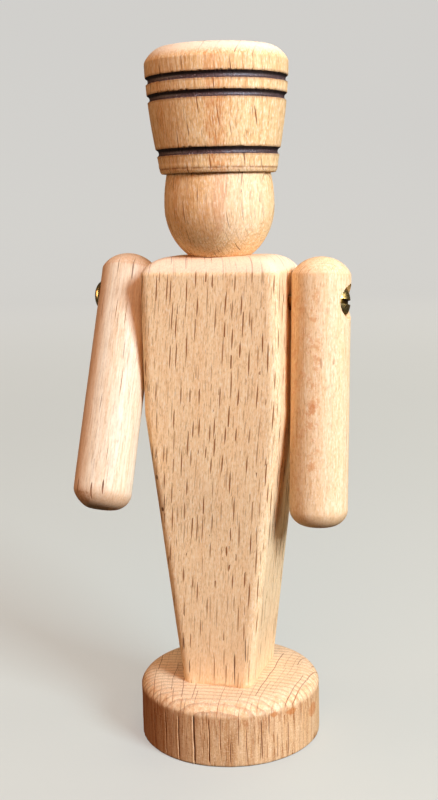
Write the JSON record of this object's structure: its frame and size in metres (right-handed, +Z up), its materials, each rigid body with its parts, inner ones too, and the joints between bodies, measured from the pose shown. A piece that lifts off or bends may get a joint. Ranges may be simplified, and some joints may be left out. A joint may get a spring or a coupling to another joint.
{
  "type": "toy soldier figure",
  "caption": "Bare wooden toy soldier with a round base, a tapered body, a turned head with a tall grooved hat, and round arms that swing on brass screws.",
  "frame": {"origin": "middle of the flat underside of the base", "axes": "+Z up through the body, head and hat; the figure faces -Y; +X towards the arm on the viewer's right"},
  "size_m": [0.0453, 0.0345, 0.1188],
  "materials": {
    "base_beech": "bare turned beech, end grain on top, slightly rough",
    "body_beech": "bare sanded beech with short dark ray flecks",
    "turned_beech": "bare turned beech, golden, with burnt grooves",
    "arm_beech": "bare sanded beech rod, pale, with fine long streaks",
    "dowel_wood": "bare beech dowel, glued in",
    "brass": "bright brass, lightly handled"
  },
  "bodies": {
    "figure": {"base_disc": "base_beech", "foot_dowel": "dowel_wood", "body_block": "body_beech", "neck_dowel": "dowel_wood", "head_and_hat": "turned_beech", "left_arm_screw": "brass", "right_arm_screw": "brass"},
    "left_arm": {"left_arm": "arm_beech"},
    "right_arm": {"right_arm": "arm_beech"}
  },
  "joints": [
    {"name": "left_shoulder", "type": "hinge", "parent": "figure", "child": "left_arm", "pos_m": [-0.0173, 0, 0.0779], "axis": [1, 0, 0], "continuous": true},
    {"name": "right_shoulder", "type": "hinge", "parent": "figure", "child": "right_arm", "pos_m": [0.0173, 0, 0.077], "axis": [1, 0, 0], "continuous": true}
  ]
}
